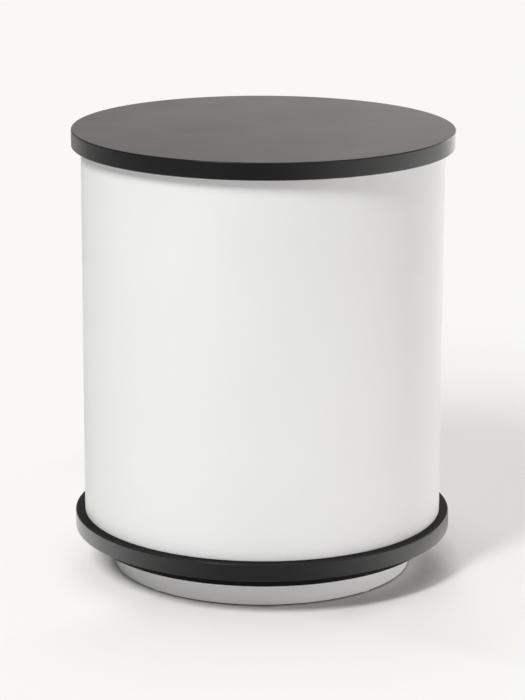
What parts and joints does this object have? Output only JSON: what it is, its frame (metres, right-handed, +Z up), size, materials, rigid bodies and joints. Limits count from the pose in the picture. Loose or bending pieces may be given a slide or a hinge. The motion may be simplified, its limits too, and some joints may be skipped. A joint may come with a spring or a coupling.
{
  "type": "round nightstand",
  "caption": "Round drum nightstand: a white cylinder between black boards on a recessed plinth, with a flush curved push-to-open door over a shelved compartment.",
  "frame": {"origin": "centre of the footprint on the floor", "axes": "+Z up along the drum's centre line, the closed back faces -Y and the door faces +Y"},
  "size_m": [0.4, 0.4, 0.471],
  "materials": {
    "black_lacquer": "satin black lacquer on fibreboard",
    "white_lacquer": "matt white lacquer on bent laminate and fibreboard",
    "steel": "zinc-plated steel",
    "white_nylon": "moulded nylon",
    "grey_plastic": "moulded grey plastic"
  },
  "bodies": {
    "cabinet": {"top_panel": "black_lacquer", "base_panel": "black_lacquer", "shadow_disc": "black_lacquer", "drum_shell": "white_lacquer", "plinth_ring": "white_lacquer", "ceiling_panel": "white_lacquer", "floor_panel": "white_lacquer", "shelf": "white_lacquer", "shelf_pin_1": "steel", "shelf_pin_2": "steel", "shelf_pin_3": "steel", "shelf_pin_4": "steel", "upper_pivot_bush": "white_nylon", "lower_pivot_bush": "white_nylon", "push_latch_body": "grey_plastic", "glide_1": "white_nylon", "glide_2": "white_nylon", "glide_3": "white_nylon", "glide_4": "white_nylon", "top_screw_1": "steel", "top_screw_2": "steel", "top_screw_3": "steel", "top_screw_4": "steel", "base_screw_1": "steel", "base_screw_2": "steel", "base_screw_3": "steel", "base_screw_4": "steel", "plinth_screw_1": "steel", "plinth_screw_2": "steel", "plinth_screw_3": "steel", "plinth_screw_4": "steel", "latch_screw_1": "steel", "latch_screw_2": "steel"},
    "door": {"door_panel": "white_lacquer", "upper_pivot_pin": "steel", "lower_pivot_pin": "steel", "strike_plate": "steel"},
    "latch_plunger": {"push_latch_plunger": "grey_plastic", "latch_magnet": "steel"}
  },
  "joints": [
    {"name": "door_swing", "type": "hinge", "parent": "cabinet", "child": "door", "pos_m": [-0.13155, 0.12865, 0.256], "axis": [0, 0, 1], "range_deg": [0, 110]},
    {"name": "latch_press", "type": "slide", "parent": "cabinet", "child": "latch_plunger", "axis": [0, -1, 0], "range_m": [0, 0.003], "stiffness_N_per_m": 2000}
  ]
}
